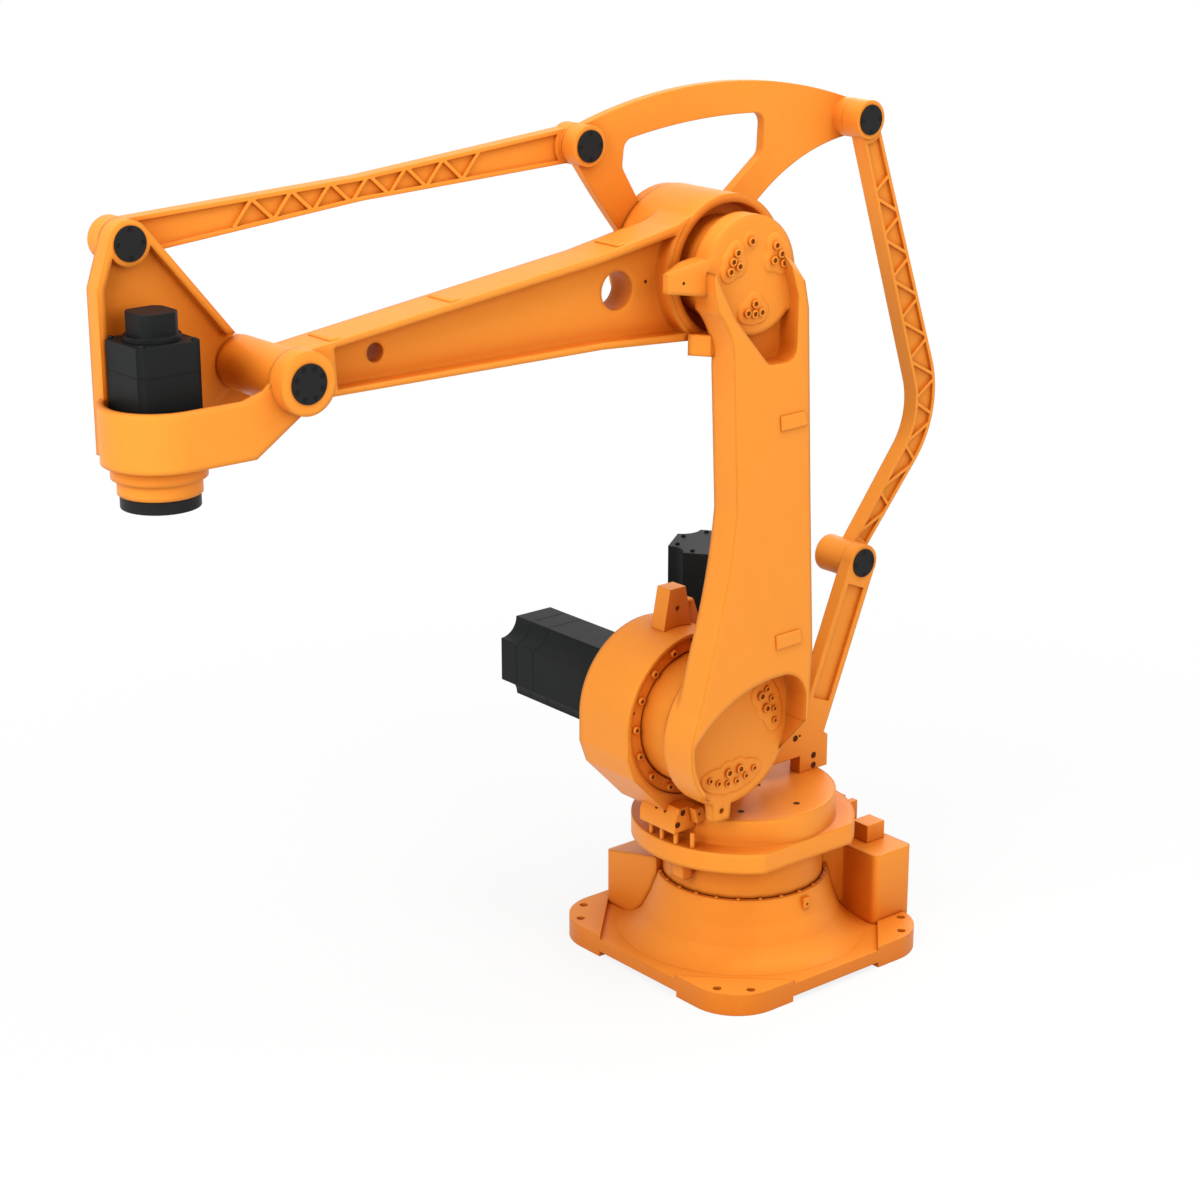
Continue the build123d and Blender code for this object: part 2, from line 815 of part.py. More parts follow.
def elbow_motor():
    section = motor_section(elbow_motor_side, elbow_motor_scallop_radius)
    return at_forearm * slab(section, elbow_spigot_far_y - seat_gap, elbow_motor_far_y)


save("forearm", forearm())
save("elbow_motor", elbow_motor())


# Levelling lever, a plate with a kidney window and two bosses
def lever():
    boss = lever_boss_radius
    outline = make_face(
        ThreePointArc((lever_front_x, lever_front_z + boss), (lever_crown_x, lever_crown_z),
                      (lever_rear_x, lever_rear_z + boss))
        + Polyline((lever_rear_x, lever_rear_z + boss), (lever_rear_x, lever_rear_z - boss))
        + ThreePointArc((lever_rear_x, lever_rear_z - boss), (lever_back_mid_x, lever_back_mid_z),
                        (lever_back_low_x, lever_back_low_z))
        + Polyline((lever_back_low_x, lever_back_low_z), (0, 0), (lever_leg_low_x, lever_leg_low_z))
        + ThreePointArc((lever_leg_low_x, lever_leg_low_z), (lever_leg_mid_x, lever_leg_mid_z),
                        (lever_front_x + boss, lever_front_z))
        + Polyline((lever_front_x + boss, lever_front_z), (lever_front_x, lever_front_z + boss))
    )
    outline += Circle(lever_hub_radius)
    outline += Pos(lever_front_x, lever_front_z) * Circle(boss)
    outline += Pos(lever_rear_x, lever_rear_z) * Circle(boss)
    window = make_face(
        ThreePointArc((window_front_top_x, window_front_top_z), (window_crown_x, window_crown_z),
                      (window_rear_top_x, window_rear_top_z))
        + Polyline((window_rear_top_x, window_rear_top_z), (window_rear_low_x, window_rear_low_z),
                   (window_hub_rear_x, window_hub_rear_z), (window_hub_front_x, window_hub_front_z),
                   (window_leg_x, window_leg_z), (window_front_top_x, window_front_top_z))
    )
    window = fillet(window.vertices(), window_corner_radius)
    window -= Circle(lever_hub_radius)
    plate = slab(outline - window, lever_near_y, lever_far_y)
    plate += disc(boss, lever_front_boss_near_y, lever_far_y, lever_front_x, lever_front_z)
    plate += disc(boss, lever_rear_boss_near_y, lever_far_y, lever_rear_x, lever_rear_z)
    plate -= disc(elbow_spigot_radius + running_gap, lever_near_y + overrun, lever_far_y - overrun)
    for pin_x, pin_z in ((lever_front_x, lever_front_z), (lever_rear_x, lever_rear_z)):
        plate -= disc(link_pin_radius, lever_rear_boss_near_y + overrun, lever_far_y - overrun, pin_x, pin_z)
    return at_elbow * plate


save("lever", lever())
save("lever_front_pin", at_elbow * Pos(lever_front_x, 0, lever_front_z) * link_pin(
    link_pin_radius - running_gap, cap_radius, lever_front_boss_near_y, upper_rod_far_y))
save("lever_rear_pin", at_elbow * Pos(lever_rear_x, 0, lever_rear_z) * link_pin(
    link_pin_radius - running_gap, cap_radius, rear_rod_near_y, lever_far_y))


# The two rods that keep the lever and the wrist bracket level
def zigzag(points):
    """The ribs of a cast truss, drawn as one band through the points."""
    return trace(Polyline(*points), line_width=rod_rib_width)


def rear_rod():
    length = lower_arm_length
    near_y = rear_rod_near_y - rear_rod_body_inset
    far_y = rear_rod_far_y + rear_rod_body_inset
    low = rear_rod_top_half
    bend = rear_rod_bend_half
    outer = FilletPolyline((-low, 0), (rear_rod_bend_x - bend, rear_rod_bend_z), (-low, length),
                           radius=rear_rod_bend_radius + bend)
    inner = FilletPolyline((low, 0), (rear_rod_bend_x + bend, rear_rod_bend_z), (low, length),
                           radius=rear_rod_bend_radius - bend)
    outline = make_face(outer + inner + Line((-low, 0), (low, 0)) + Line((-low, length), (low, length)))
    rod = slab(outline, near_y, far_y)
    boss_zone = Circle(rod_boss_radius + rod_boss_wall)
    crests = []
    for rib in range(rear_truss_ribs):
        rib_z = rod_boss_radius + rod_boss_wall + rib * rear_truss_pitch
        share = min(rib_z / rear_rod_bend_z, (length - rib_z) / (length - rear_rod_bend_z))
        middle_x = max(rear_rod_bend_x * share, rear_rod_bend_x + rear_truss_relief)
        crests.append((middle_x + bend * (-1) ** rib, rib_z))
    pocket = offset(outline, -rod_rim) - boss_zone - Pos(0, length) * boss_zone - zigzag(crests)
    rod -= slab(pocket, near_y + overrun, near_y - rod_pocket_depth)
    rod += disc(rod_boss_radius, rear_rod_near_y, rear_rod_low_boss_far_y)
    rod += disc(rod_boss_radius, rear_rod_near_y, rear_rod_far_y, 0, length)
    rod -= disc(link_pin_radius, rear_rod_near_y + overrun, rear_rod_low_boss_far_y - overrun)
    rod -= disc(link_pin_radius + open_pivot_gap, rear_rod_near_y + overrun, rear_rod_far_y - overrun, 0, length)
    return at_rear_rod * rod


def upper_rod():
    length = forearm_length
    near_y = upper_rod_near_y - upper_rod_body_inset
    far_y = upper_rod_far_y
    half = length / 2
    outline = polygon(
        (0, upper_rod_end_half),
        (half, upper_rod_mid_half),
        (length, upper_rod_end_half),
        (length, -upper_rod_end_half),
        (half, -upper_rod_mid_half),
        (0, -upper_rod_end_half),
    )
    rod = slab(outline, near_y, far_y)
    boss_zone = Circle(rod_boss_radius + rod_boss_wall)
    crests = [(upper_truss_start + rib * upper_truss_pitch, upper_rod_mid_half * (-1) ** rib)
              for rib in range(upper_truss_ribs + 1)]
    pocket = offset(outline, -rod_rim) - boss_zone - Pos(length, 0) * boss_zone - zigzag(crests)
    rod -= slab(pocket, near_y + overrun, near_y - rod_pocket_depth)
    for x in (0, length):
        rod += disc(rod_boss_radius, upper_rod_near_y - seat_gap, upper_rod_far_y, x, 0)
    rod -= disc(link_pin_radius, upper_rod_near_y + overrun, upper_rod_far_y - overrun)
    rod -= disc(link_pin_radius + open_pivot_gap, upper_rod_near_y + overrun, upper_rod_far_y - overrun, length, 0)
    return at_upper_rod * rod


save("rear_rod", rear_rod())
save("upper_rod", upper_rod())


# Wrist bracket: a far plate with rims, a cup round the motor and a near ear
def wrist_bracket():
    axis_x = tool_offset_x
    mid_y = (cup_near_y + bracket_far_y) / 2
    cup_radius = (cup_near_y - bracket_far_y) / 2
    plate_near_y = bracket_far_y + bracket_plate_thickness
    boss = lever_boss_radius
    front_x = axis_x + bracket_front_x
    far_outline = make_hull(
        (Pos(axis_x, lever_front_z) * Circle(boss)).edges()
        + Circle(bracket_heel_radius).edges()
        + polygon((front_x - overrun, bracket_front_top_z), (front_x, bracket_front_top_z - overrun),
                  (front_x, cup_bottom_z), (cup_rear_x, cup_bottom_z)).edges())
    far_plate = slab(far_outline + Circle(bracket_hub_radius), plate_near_y, bracket_far_y)
    rim = slab(far_outline - offset(far_outline, -bracket_rim_width), bracket_rim_near_y, bracket_far_y)
    rim -= disc(ear_radius + overrun, bracket_rim_near_y + overrun, plate_near_y)
    rim -= block(-ear_radius - overrun, cup_rear_x, plate_near_y, bracket_rim_near_y + overrun, cup_bottom_z - overrun,
                 ear_radius)
    top_boss = disc(boss, bracket_rim_near_y, bracket_far_y, axis_x, lever_front_z)
    near_wall = make_face(
        Polyline((0, 0), (0, ear_radius), (ear_wall_rise_x, cup_top_z + cup_wall), (cup_rear_x, cup_top_z),
                 (axis_x, cup_top_z), (axis_x, cup_bottom_z), (cup_rear_x - cup_floor, cup_bottom_z),
                 (-ear_radius / 6, -ear_radius), (0, 0)))
    wall = slab(near_wall + Circle(ear_radius), cup_near_y, cup_near_y - cup_wall)
    ear = disc(ear_radius, ear_near_y, cup_near_y - cup_wall)
    cup = puck(cup_radius, cup_bottom_z, cup_top_z, axis_x, mid_y)
    cup -= puck(cup_radius - cup_wall, cup_bottom_z + cup_floor, cup_top_z + overrun, axis_x, mid_y)
    cup -= block(axis_x - cup_radius - overrun, axis_x, bracket_far_y - overrun, cup_near_y + overrun,
                 cup_bottom_z - overrun, cup_top_z + overrun)
    floor = block(cup_rear_x, axis_x, bracket_far_y, cup_near_y, cup_bottom_z, cup_bottom_z + cup_floor)
    bracket = far_plate + rim + top_boss + wall + ear + cup + floor
    bracket -= disc(wrist_pin_radius, ear_near_y + overrun, bracket_far_y - overrun)
    bracket -= disc(link_pin_radius, bracket_rim_near_y + overrun, bracket_far_y - overrun, axis_x, lever_front_z)
    return at_wrist * bracket


def wrist_case():
    case = puck(wrist_case_radius, wrist_case_step_z, cup_bottom_z - seat_gap, tool_offset_x)
    case += puck(wrist_case_step_radius, wrist_case_bottom_z + seat_gap, wrist_case_step_z, tool_offset_x)
    return at_wrist * case


def wrist_motor():
    low_z = cup_bottom_z + cup_floor + seat_gap
    section = motor_section(wrist_motor_side, wrist_motor_scallop_radius)
    return at_wrist * Pos(tool_offset_x, 0, low_z) * extrude(section, amount=wrist_motor_top_z - low_z)


def wrist_motor_cap():
    low_z = wrist_motor_top_z + seat_gap
    ring_top_z = low_z + wrist_motor_ring_height
    ring = puck(wrist_motor_ring_radius, low_z, ring_top_z)
    side = 2 * wrist_motor_cap_flat
    cap = Pos(0, 0, ring_top_z) * extrude(Circle(wrist_motor_cap_radius) & Rectangle(side, side),
                                          amount=wrist_motor_cap_top_z - ring_top_z)
    return at_wrist * Pos(tool_offset_x, 0, 0) * (ring + cap)


def tool_flange():
    high_z = wrist_case_bottom_z
    low_z = high_z - flange_thickness
    flange = puck(flange_radius, low_z, high_z)
    flange -= puck(flange_bore_radius, low_z - overrun, low_z + flange_bore_depth)
    for bolt in PolarLocations(flange_bolt_circle / 2, flange_bolt_count):
        flange -= bolt * puck(flange_bolt_radius, low_z - overrun, low_z + flange_bolt_depth)
    return at_wrist * Pos(tool_offset_x, 0, 0) * flange


save("wrist_bracket", wrist_bracket())
save("wrist_pin", at_wrist * link_pin(wrist_pin_radius - running_gap, wrist_cap_radius, ear_near_y, bracket_far_y))
save("bracket_top_pin", at_wrist * Pos(tool_offset_x, 0, lever_front_z) * link_pin(
    link_pin_radius - running_gap, cap_radius, bracket_rim_near_y, upper_rod_far_y))
save("wrist_case", wrist_case())
save("wrist_motor", wrist_motor())
save("wrist_motor_cap", wrist_motor_cap())
save("tool_flange", tool_flange())
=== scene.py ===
import json
import math

import bmesh
import bpy
import numpy as np
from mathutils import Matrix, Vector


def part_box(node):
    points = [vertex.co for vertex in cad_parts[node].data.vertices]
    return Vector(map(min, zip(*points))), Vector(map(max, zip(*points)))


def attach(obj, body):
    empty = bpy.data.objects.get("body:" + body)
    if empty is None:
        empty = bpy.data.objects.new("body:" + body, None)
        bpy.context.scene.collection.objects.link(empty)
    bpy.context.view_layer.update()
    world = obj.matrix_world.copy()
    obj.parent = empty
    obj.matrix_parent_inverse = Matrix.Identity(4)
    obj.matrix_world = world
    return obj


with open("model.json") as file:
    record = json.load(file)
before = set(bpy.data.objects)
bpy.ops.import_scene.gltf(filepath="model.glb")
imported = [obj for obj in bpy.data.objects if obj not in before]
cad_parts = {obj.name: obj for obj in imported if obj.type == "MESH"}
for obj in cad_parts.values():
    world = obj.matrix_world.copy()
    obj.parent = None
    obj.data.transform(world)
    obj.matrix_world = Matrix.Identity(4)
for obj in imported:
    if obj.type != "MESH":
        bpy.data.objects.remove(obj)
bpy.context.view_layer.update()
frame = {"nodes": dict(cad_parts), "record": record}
record = frame["record"]
scene = bpy.context.scene

# Viewpoint
# The camera stands ahead of the arm and on its near side, a little above the elbow, and looks down at it. Its
# place, turn and focal length were fitted to the foot's bolt holes, the shaft caps and the linkage.
camera_place = (3.6241, 3.8725, 2.5070)
camera_down_deg = 18.104
camera_turn_deg = 140.215
camera_lens_mm = 79.79
camera_sensor_mm = 36.0
camera_far_end = 60

camera = bpy.data.objects.new("camera", bpy.data.cameras.new("camera"))
scene.collection.objects.link(camera)
camera.location = camera_place
camera.rotation_euler = (math.radians(90 - camera_down_deg), 0, math.radians(camera_turn_deg))
camera.data.lens = camera_lens_mm
camera.data.sensor_width = camera_sensor_mm
camera.data.clip_end = camera_far_end
scene.camera = camera
scene.view_settings.view_transform = "Standard"


# Studio
# A sheet of white paper under the arm and a white room round it. The paper keeps a soft shadow close to the foot
# and goes over into the white of the room a few metres out, so that no horizon shows.
paper_half = 14.0
shadow_near = 0.7
shadow_far = 2.6
white_share_near = 0.84
air_strength = 0.46
wall_strength = 1.0
lamp_side = 3.0
lamp_aim = np.array([0.35, 0.0, 0.9])


def linear(code):
    """An sRGB hex colour as linear red, green, blue and alpha."""
    shares = [int(code[i:i + 2], 16) / 255 for i in (1, 3, 5)]
    return [s / 12.92 if s <= 0.04045 else ((s + 0.055) / 1.055) ** 2.4 for s in shares] + [1.0]


def empty_tree(owner):
    """The node tree of a material or a world, cleared of its standard nodes."""
    owner.use_nodes = True
    owner.node_tree.nodes.clear()
    return owner.node_tree


def node(tree, kind, values=(), **settings):
    """Adds a shader node. values pairs an input's name or number with a value, or with (node, output) as a link."""
    made = tree.nodes.new(kind)
    for name, setting in settings.items():
        setattr(made, name, setting)
    for name, value in dict(values).items():
        if isinstance(value, tuple) and isinstance(value[0], bpy.types.Node):
            tree.links.new(value[0].outputs[value[1]], made.inputs[name])
        else:
            made.inputs[name].default_value = value
    return made


def seen_directly(tree):
    """1 for a ray from the camera, a mirror or a glass, 0 for the light that reaches the object."""
    path = node(tree, "ShaderNodeLightPath")
    sharp = node(tree, "ShaderNodeMath", {0: (path, "Is Camera Ray"), 1: (path, "Is Glossy Ray")}, operation="MAXIMUM")
    return node(tree, "ShaderNodeMath", {0: (sharp, 0), 1: (path, "Is Transmission Ray")}, operation="MAXIMUM")


paper_mesh = bpy.data.meshes.new("studio_paper")
paper_mesh.from_pydata([(x * paper_half, y * paper_half, 0) for x, y in ((-1, -1), (1, -1), (1, 1), (-1, 1))],
                       [], [(0, 1, 2, 3)])
paper = bpy.data.objects.new("studio_paper", paper_mesh)
scene.collection.objects.link(paper)

white_paper = bpy.data.materials.new("matt_white_paper")
tree = empty_tree(white_paper)
matt = node(tree, "ShaderNodeBsdfDiffuse", {"Color": linear("#DEDEDC")})
white = node(tree, "ShaderNodeEmission", {"Color": linear("#FFFFFF"), "Strength": wall_strength})
place = node(tree, "ShaderNodeTexCoord")
distance = node(tree, "ShaderNodeVectorMath", {0: (place, "Object")}, operation="LENGTH")
fade = node(tree, "ShaderNodeMapRange", {"Value": (distance, "Value"), "From Min": shadow_near, "From Max": shadow_far,
                                         "To Min": white_share_near, "To Max": 1.0}, interpolation_type="SMOOTHSTEP")
share = node(tree, "ShaderNodeMath", {0: (fade, 0), 1: (seen_directly(tree), 0)}, operation="MULTIPLY")
shown = node(tree, "ShaderNodeMixShader", {0: (share, 0), 1: (matt, 0), 2: (white, 0)})
node(tree, "ShaderNodeOutputMaterial", {0: (shown, 0)})
paper_mesh.materials.append(white_paper)

room = bpy.data.worlds.new("white_room")
scene.world = room
tree = empty_tree(room)
air = node(tree, "ShaderNodeBackground", {"Color": linear("#FFFFFF"), "Strength": air_strength})
wall = node(tree, "ShaderNodeBackground", {"Color": linear("#FFFFFF"), "Strength": wall_strength})
shown = node(tree, "ShaderNodeMixShader", {0: (seen_directly(tree), 0), 1: (air, 0), 2: (wall, 0)})
node(tree, "ShaderNodeOutputWorld", {0: (shown, 0)})


def soft_lamp(name, place, watts):
    """A square lamp cloth that faces the middle of the arm."""
    lamp = bpy.data.objects.new(name, bpy.data.lights.new(name, "AREA"))
    scene.collection.objects.link(lamp)
    lamp.data.size = lamp_side
    lamp.data.energy = watts
    away = np.array(place) - lamp_aim
    lamp.location = place
    lamp.rotation_euler = (math.acos(away[2] / np.linalg.norm(away)), 0, math.atan2(away[1], away[0]) + math.pi / 2)


soft_lamp("front_lamp", (4.6, 0.9, 3.4), 174.0)
soft_lamp("near_lamp", (1.2, 5.0, 3.2), 108.0)
soft_lamp("top_lamp", (-0.4, 1.2, 5.4), 150.0)
soft_lamp("back_lamp", (-4.2, -2.4, 3.8), 80.0)


# Base plate
# The foot is a square cast iron plate that is bolted to the floor. All the castings leave the sand with round edges
# and are sprayed with two coats of orange enamel, baked glossy, over a faintly uneven skin.
mm = 0.001
X, Y, Z = np.eye(3)
body_of = {name: body for body, names in record["behaviour"]["bodies"].items() for name in names}
joint_at = {joint["name"]: np.array(joint["pos_m"]) for joint in record["behaviour"]["joints"]}

# The second colour is painted shade, laid on the orange in corners and recesses.
orange, shaded_orange, orange_sheen = "#E88F34", "#B85204", "#FFB868"
edge_round = 4 * mm
large_edge_round = 16 * mm
peel_scale = 330.0
peel_strength = 0.10
peel_height = 0.5 * mm
skin_scale = 25.0
skin_share = 0.10
gloss_spread = 0.05
# How far the painted shade in corners looks for open air, the openness at which it is full, and its share there.
corner_reach = 0.22
corner_full = 0.25
painted_shade_share = 0.85
shade_samples = 8


def sprayed(name, code, shade_code, edge, gloss, specular, sheen_code):
    """Baked enamel on a casting whose edges are round with the given radius. Where little open air is within reach, as
    in corners and recesses, the colour goes over into the darker shade colour as painted shade. Its orange peel is
    about
    3 mm across, and the slow cloudiness of the sand skin below it, about 40 mm across, shifts colour and gloss a
    little."""
    made = bpy.data.materials.new(name)
    tree = empty_tree(made)
    place = node(tree, "ShaderNodeTexCoord")
    skin = node(tree, "ShaderNodeTexNoise", {"Vector": (place, "Object"), "Scale": skin_scale, "Detail": 4.0})
    peel = node(tree, "ShaderNodeTexNoise", {"Vector": (place, "Object"), "Scale": peel_scale, "Detail": 1.5})
    cloud = node(tree, "ShaderNodeMapRange", {"Value": (skin, "Fac"), "To Min": 0.0, "To Max": skin_share})
    corner = node(tree, "ShaderNodeAmbientOcclusion", {"Distance": corner_reach}, samples=shade_samples)
    # Painted shade: the colour darkens towards the shade colour as the ambient occlusion falls.
    painted_shade = node(tree, "ShaderNodeMapRange", {"Value": (corner, "AO"), "From Min": corner_full, "From Max": 1.0,
                                              "To Min": painted_shade_share, "To Max": 0.0})
    cloud_and_shade = node(tree, "ShaderNodeMath", {0: (cloud, 0), 1: (painted_shade, 0)}, operation="ADD", use_clamp=True)
    tint = node(tree, "ShaderNodeMix", {0: (cloud_and_shade, 0), 6: linear(code), 7: linear(shade_code)}, data_type="RGBA")
    shine = node(tree, "ShaderNodeMapRange", {"Value": (skin, "Fac"), "To Min": gloss - gloss_spread,
                                              "To Max": gloss + gloss_spread})
    bend = node(tree, "ShaderNodeBevel", {"Radius": edge}, samples=shade_samples)
    relief = node(tree, "ShaderNodeBump", {"Height": (peel, "Fac"), "Strength": peel_strength,
                                           "Distance": peel_height, "Normal": (bend, 0)})
    film = node(tree, "ShaderNodeBsdfPrincipled", {"Base Color": (tint, 2), "Roughness": (shine, 0),
                                                   "Normal": (relief, 0), "Specular IOR Level": specular,
                                                   "Specular Tint": linear(sheen_code)})
    node(tree, "ShaderNodeOutputMaterial", {0: (film, 0)})
    return made


def painted(name, paint):
    """Gives a CAD node its finish."""
    frame["nodes"][name].data.materials.clear()
    frame["nodes"][name].data.materials.append(paint)


orange_enamel = sprayed("baked_orange_enamel", orange, shaded_orange, edge_round, 0.42, 0.28, orange_sheen)
soft_orange = sprayed("baked_orange_enamel_on_large_castings", orange, shaded_orange, large_edge_round, 0.42, 0.28,
                      orange_sheen)
painted("base_plate", orange_enamel)


# Pedestal and waist case
# The turned iron neck under the waist gear, and the gear case on it. A ring of small cap screws under the case holds
# the two together, painted over with the rest. A small drilled lug stands out from the neck.
ring_screw_count = 24
ring_screw_circle = 178.4 * mm
ring_screw = (4.2 * mm, 4 * mm, 4 * mm)
neck_joint_radius = 175.5 * mm
neck_joint_height = 0.8 * mm
neck_foot_radius = 238 * mm
neck_slope_deg = 56.3
neck_fillet = 60 * mm
neck_fillet_rows = 8
neck_lug_side = np.array([[-15, 138], [3, 138], [3, 162], [-15, 162]]) * mm
neck_lug_ends = (178 * mm, 198 * mm)
neck_lug_hole = np.array([-6, 198, 148]) * mm
neck_lug_hole_radius = 2.5 * mm
joint_inner_share = 0.985
crease_deg = 32

screw_steps = np.radians(np.arange(0, 360, 15))
hoop_steps = 96

# Side, up and outward directions for pieces that stand on a level face, and for those on a face that looks to the
# near side or to the far side.
level = (X, Y, Z)
near = (X, Z, Y)
far = (X, Z, -Y)


def ring(reach):
    """An outline round a centre, from one reach or from one for each of its angles."""
    reach = np.atleast_1d(reach)
    angles = screw_steps if len(reach) == 1 else np.arange(len(reach)) * 2 * np.pi / len(reach)
    return np.stack([reach * np.cos(angles), reach * np.sin(angles)], 1)


def circle(radius):
    """A fine round outline for pieces as large as a drum."""
    return ring(np.full(hoop_steps, radius))


def lofted(rows, centres, side, up, axis):
    """Outlines carried along an axis. Point (u, v) is centre + outline v at u in the side and up directions +
    height v along the axis, with the grid closed round u and one copy for each centre. Returns the points, the
    faces, and each face's row."""
    outlines = np.array([outline for outline, height in rows])
    heights = np.array([height for outline, height in rows])
    local = (outlines[:, :, :1] * side + outlines[:, :, 1:] * up + heights[:, None, None] * axis)
    centres = np.atleast_2d(centres)
    points = centres[:, None, None, :] + local[None]
    copies, turns, steps = points.shape[:3]
    u, v, c = np.meshgrid(np.arange(steps), np.arange(turns - 1), np.arange(copies), indexing="ij")
    first = (c * turns + v) * steps
    after = (u + 1) % steps
    faces = np.stack([first + u, first + after, first + steps + after, first + steps + u], -1)
    return points.reshape(-1, 3), faces.reshape(-1, 4), v.reshape(-1)


def shell(name, body, paints, grid, dark_row=None, crease=crease_deg):
    """One piece from a lofted grid, with its poles merged. Faces from dark_row on take the second paint."""
    points, faces, face_rows = grid
    mesh = bpy.data.meshes.new(name)
    mesh.from_pydata(points.tolist(), [], faces.tolist())
    for paint in paints:
        mesh.materials.append(paint)
    if dark_row is not None:
        mesh.polygons.foreach_set("material_index", (face_rows >= dark_row).astype(int))
    work = bmesh.new()
    work.from_mesh(mesh)
    bmesh.ops.remove_doubles(work, verts=work.verts, dist=1e-6)
    bmesh.ops.recalc_face_normals(work, faces=work.faces)
    work.to_mesh(mesh)
    work.free()
    mesh.polygons.foreach_set("use_smooth", np.ones(len(mesh.polygons), bool))
    mesh.set_sharp_from_angle(angle=math.radians(crease))
    made = bpy.data.objects.new(name, mesh)
    scene.collection.objects.link(made)
    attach(made, body)


def cap_screw(radius, height, across):
    """Rows of a cap screw's head: a short cylinder with a chamfer and a hexagonal socket in its top. The socket's
    reach is half its width over the cosine of the angle from the middle of the nearest flat."""
    flat = np.mod(screw_steps + np.pi / 6, np.pi / 3) - np.pi / 6
    socket = ring(across / 2 / np.cos(flat))
    head = ring(radius)
    return [(head * 0, 0), (head, 0), (head, 0.82 * height), (head * 0.9, height), (socket, height),
            (socket, 0.3 * height), (socket * 0, 0.3 * height)]


def screws(name, body, paints, head, places, axes):
    """Cap screws on a face. head gives their radius, height and socket width, and the second paint, painted shade, is
    for the walls and floors of their sockets, which start at row 4."""
    shell(name, body, paints, lofted(cap_screw(*head), places, *axes), 4)


def bore_mark(radius):
    """Rows of a drilled hole's mouth: a thin bevelled lip round a shallow floor that takes painted shade for the
    hole's depth.
    """
    rim = ring(radius)
    lip, floor = 0.4 * mm, 0.1 * mm
    return [(rim * 0, 0), (rim * 1.12, 0), (rim * 1.06, lip), (rim, lip), (rim * 0.96, floor), (rim * 0, floor)]


def bores(name, body, paints, radius, places, axes):
    """Mouths of holes on a face. The second paint, painted shade, is for their floors, which start at row 3."""
    shell(name, body, paints, lofted(bore_mark(radius), places, *axes), 3)


def drilled(name, body, radius, places, axes):
    """Holes of one size drilled in an orange face, their floors in painted shade."""
    bores(name, body, [orange_enamel, bore_shade], radius, places, axes)


def band(outline, inner_share, low, high):
    """Rows of a closed hoop that follows an outline, from inner_share of its reach out to the outline."""
    inner = outline * inner_share
    return [(inner, low), (outline, low), (outline, high), (inner, high), (inner, low)]


def joint_line(name, body, radius, low, thickness, centre, axes):
    """The dark line where a round part sits on the next one, painted shade of the thin gap between them."""
    shell(name, body, [bore_shade],
          lofted(band(circle(radius), joint_inner_share, low, low + thickness), centre, *axes))


def along(outline, start, end, chamfer):
    """Rows that carry an outline from one height to another, drawn in a little at both ends, and closed."""
    middle = (outline.max(0) + outline.min(0)) / 2
    size = (outline.max(0) - outline.min(0)) / 2
    inner = middle + (outline - middle) * (1 - chamfer / size)
    tip = outline * 0 + middle
    turn = math.copysign(chamfer, end - start)
    return [(tip, start), (inner, start), (outline, start + turn), (outline, end - turn), (inner, end), (tip, end)]


def cast_block(name, body, outline, start, end, chamfer, places, axes):
    """A small casting with straight sides and chamfered ends."""
    shell(name, body, [orange_enamel], lofted(along(outline, start, end, chamfer), places, *axes))


def fillet(foot_radius, radius, slope_deg, foot, count):
    """Rows of a fillet between a level face and a slope. It leaves the level radius tan(slope / 2) outside the foot
    of the slope, and at angle t it has drawn in by radius sin t and risen by radius (1 - cos t)."""
    reach = foot_radius + radius * math.tan(math.radians(slope_deg / 2))
    return [(circle(reach - radius * math.sin(t)), foot + radius * (1 - math.cos(t)))
            for t in np.radians(np.linspace(0, slope_deg, count))]


def on_circle(radius, angles_deg):
    """Places round a circle, as two columns."""
    angles = np.radians(angles_deg)
    return np.stack([radius * np.cos(angles), radius * np.sin(angles)], 1)


def on_top(spots, z):
    """Places on a level face, from two columns."""
    return spots @ np.stack([X, Y]) + z * Z


def on_side(spots, y):
    """Places on a face that looks to the near side, from two columns."""
    return spots @ np.stack([X, Z]) + y * Y


def shaded_recess(name, code, shade_code):
    """The inside of a socket or a bore, darkened as painted shade and patchy over about 3 mm."""
    made = bpy.data.materials.new(name)
    tree = empty_tree(made)
    place = node(tree, "ShaderNodeTexCoord")
    patches = node(tree, "ShaderNodeTexNoise", {"Vector": (place, "Object"), "Scale": peel_scale})
    patchy_shade = node(tree, "ShaderNodeMix", {0: (patches, "Fac"), 6: linear(code), 7: linear(shade_code)}, data_type="RGBA")
    wall = node(tree, "ShaderNodeBsdfPrincipled", {"Base Color": (patchy_shade, 2), "Roughness": 0.7,
                                                   "Specular IOR Level": 0.1})
    node(tree, "ShaderNodeOutputMaterial", {0: (wall, 0)})
    return made


# Painted shade for the sockets of the orange screws, and for the floors of the drilled holes and the joint lines.
socket_shade = shaded_recess("painted_shade_in_sockets", "#A85A18", "#8A4310")
bore_shade = shaded_recess("painted_shade_in_bores_and_gaps", "#52260A", "#3A1A06")
orange_screw = [orange_enamel, socket_shade]

painted("pedestal", soft_orange)
painted("waist_case", soft_orange)
neck_foot, neck_top = (corner[2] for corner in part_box("pedestal"))
spots = on_circle(ring_screw_circle, np.arange(ring_screw_count) * 360 / ring_screw_count)
screws("pedestal_ring_screws", "base", orange_screw, ring_screw, on_top(spots, neck_top), level)
joint_line("pedestal_joint", "base", neck_joint_radius, neck_top, neck_joint_height, 0 * X, level)
shell("pedestal_fillet", "base", [soft_orange],
      lofted(fillet(neck_foot_radius, neck_fillet, neck_slope_deg, neck_foot, neck_fillet_rows), 0 * X, *level))
cast_block("pedestal_lug", "base", neck_lug_side, *neck_lug_ends, 1.5 * mm, 0 * X, near)
drilled("pedestal_lug_hole", "base", neck_lug_hole_radius, neck_lug_hole, near)


# Rear housing
# The folded steel cover over the cable connections behind the foot, with two plug blocks on its top. Its corners are
# welded and ground round, and the blocks are glued and painted over.
painted("rear_housing", soft_orange)
painted("plug_blocks", orange_enamel)


